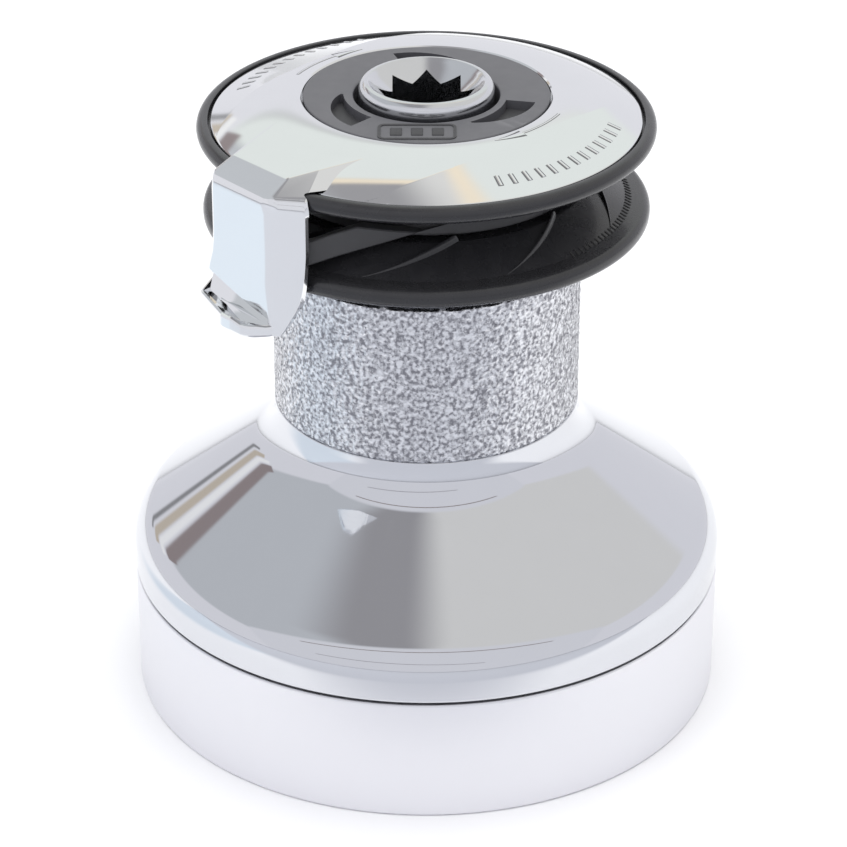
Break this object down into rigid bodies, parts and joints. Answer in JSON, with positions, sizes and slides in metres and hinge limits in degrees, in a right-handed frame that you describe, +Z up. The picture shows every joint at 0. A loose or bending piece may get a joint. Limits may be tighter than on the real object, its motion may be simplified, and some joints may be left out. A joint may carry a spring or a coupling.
{
  "type": "sailboat winch",
  "caption": "Two-speed self-tailing sheet winch: flared drum on a round base, sprung jaws, feeder arm, and a handle socket in the spindle.",
  "frame": {"origin": "on the winch axis, in the plane of the base's flat underside", "axes": "+Z up along the drum axis; -Y faces the front, with the feeder arm at the front left and the output shaft towards +Y"},
  "size_m": [0.158, 0.158, 0.1716],
  "materials": {
    "satin_cover": "satin anodised",
    "cast_alloy": "as cast, machined seats",
    "chromed_drum": "mirror chrome, grit blasted on the grip",
    "chromed_arm": "mirror chrome",
    "steel_shaft": "ground and polished",
    "gear_bronze": "machined bronze",
    "jaw_composite": "satin moulded composite",
    "stripper_composite": "satin moulded composite",
    "cap_composite": "fine matte moulded composite",
    "bearing_nylon": "moulded nylon",
    "seal_rubber": "matte",
    "spring_steel": "bright",
    "fastener_steel": "bright"
  },
  "bodies": {
    "base": {"base_flange": "satin_cover", "centre_stem": "cast_alloy", "stem_screw_1": "fastener_steel", "stem_screw_2": "fastener_steel", "stem_screw_3": "fastener_steel", "spindle_bush_lower": "bearing_nylon", "spindle_bush_upper": "bearing_nylon", "shaft_bush_lower": "gear_bronze", "shaft_bush_middle": "gear_bronze", "shaft_bush_upper": "gear_bronze", "idler_pin": "steel_shaft", "bearing_spacer": "bearing_nylon", "feeder_arm": "chromed_arm", "arm_screw_1": "fastener_steel", "arm_screw_2": "fastener_steel", "arm_screw_3": "fastener_steel", "stripper": "stripper_composite", "stripper_screw": "fastener_steel", "top_cap": "cap_composite", "spindle_seal": "seal_rubber"},
    "drum": {"drum": "chromed_drum", "ring_gear": "gear_bronze", "upper_jaw": "jaw_composite", "jaw_screw_1": "fastener_steel", "jaw_screw_2": "fastener_steel", "jaw_screw_3": "fastener_steel", "jaw_screw_4": "fastener_steel", "wave_spring": "spring_steel"},
    "lower_jaw": {"lower_jaw": "jaw_composite"},
    "bearing_lower": {"drum_bearing_lower": "bearing_nylon"},
    "bearing_upper": {"drum_bearing_upper": "bearing_nylon"},
    "spindle": {"main_spindle": "steel_shaft", "spindle_pawl_spring_1": "spring_steel", "spindle_pawl_spring_2": "spring_steel"},
    "spindle_pawl_1": {"spindle_pawl_1": "spring_steel"},
    "spindle_pawl_2": {"spindle_pawl_2": "spring_steel"},
    "ratchet_gear": {"ratchet_gear": "gear_bronze"},
    "idler": {"idler_gear": "gear_bronze"},
    "output_shaft": {"output_shaft": "steel_shaft", "output_pinion": "gear_bronze", "shaft_pawl_spring_1": "spring_steel", "shaft_pawl_spring_2": "spring_steel"},
    "shaft_pawl_1": {"shaft_pawl_1": "spring_steel"},
    "shaft_pawl_2": {"shaft_pawl_2": "spring_steel"},
    "second_gear": {"second_speed_gear": "gear_bronze"}
  },
  "joints": [
    {"name": "drum_spin", "type": "hinge", "parent": "base", "child": "drum", "pos_m": [0, 0, 0.09], "axis": [0, 0, 1], "continuous": true},
    {"name": "jaw_slide", "type": "slide", "parent": "drum", "child": "lower_jaw", "axis": [0, 0, 1], "range_m": [-0.003, 0], "stiffness_N_per_m": 4000, "springref_m": 0.002, "deforming": ["wave_spring"]},
    {"name": "bearing_lower_roll", "type": "hinge", "parent": "base", "child": "bearing_lower", "pos_m": [0, 0, 0.0815], "axis": [0, 0, 1], "continuous": true},
    {"name": "bearing_upper_roll", "type": "hinge", "parent": "base", "child": "bearing_upper", "pos_m": [0, 0, 0.1153], "axis": [0, 0, 1], "continuous": true},
    {"name": "spindle_spin", "type": "hinge", "parent": "base", "child": "spindle", "pos_m": [0, 0, 0.1], "axis": [0, 0, 1], "continuous": true},
    {"name": "ratchet_gear_spin", "type": "hinge", "parent": "base", "child": "ratchet_gear", "pos_m": [0, 0, 0.011], "axis": [0, 0, 1], "continuous": true},
    {"name": "idler_spin", "type": "hinge", "parent": "base", "child": "idler", "pos_m": [0.02121, 0.02396, 0.011], "axis": [0, 0, 1], "continuous": true},
    {"name": "output_shaft_spin", "type": "hinge", "parent": "base", "child": "output_shaft", "pos_m": [0, 0.039, 0.02], "axis": [0, 0, 1], "continuous": true},
    {"name": "second_gear_spin", "type": "hinge", "parent": "base", "child": "second_gear", "pos_m": [0, 0.039, 0.02], "axis": [0, 0, 1], "continuous": true},
    {"name": "spindle_pawl_1_swing", "type": "hinge", "parent": "spindle", "child": "spindle_pawl_1", "pos_m": [0.00808, 0.00294, 0.011], "axis": [0, 0, 1], "range_deg": [-13, 0]},
    {"name": "spindle_pawl_2_swing", "type": "hinge", "parent": "spindle", "child": "spindle_pawl_2", "pos_m": [-0.00808, -0.00294, 0.011], "axis": [0, 0, 1], "range_deg": [-13, 0]},
    {"name": "shaft_pawl_1_swing", "type": "hinge", "parent": "output_shaft", "child": "shaft_pawl_1", "pos_m": [0.0063, 0.04991, 0.021], "axis": [0, 0, -1], "range_deg": [0, 13]},
    {"name": "shaft_pawl_2_swing", "type": "hinge", "parent": "output_shaft", "child": "shaft_pawl_2", "pos_m": [-0.0063, 0.02809, 0.021], "axis": [0, 0, -1], "range_deg": [0, 13]}
  ],
  "couplings": [
    {"joint": "spindle_spin", "follows": "drum_spin", "ratio": 2.1111},
    {"joint": "ratchet_gear_spin", "follows": "drum_spin", "ratio": 2.1111},
    {"joint": "idler_spin", "follows": "drum_spin", "ratio": -2.7143},
    {"joint": "output_shaft_spin", "follows": "drum_spin", "ratio": 3.1667},
    {"joint": "second_gear_spin", "follows": "drum_spin", "ratio": -1.0556},
    {"joint": "bearing_lower_roll", "follows": "drum_spin", "ratio": 0.5405},
    {"joint": "bearing_upper_roll", "follows": "drum_spin", "ratio": 0.5405}
  ]
}
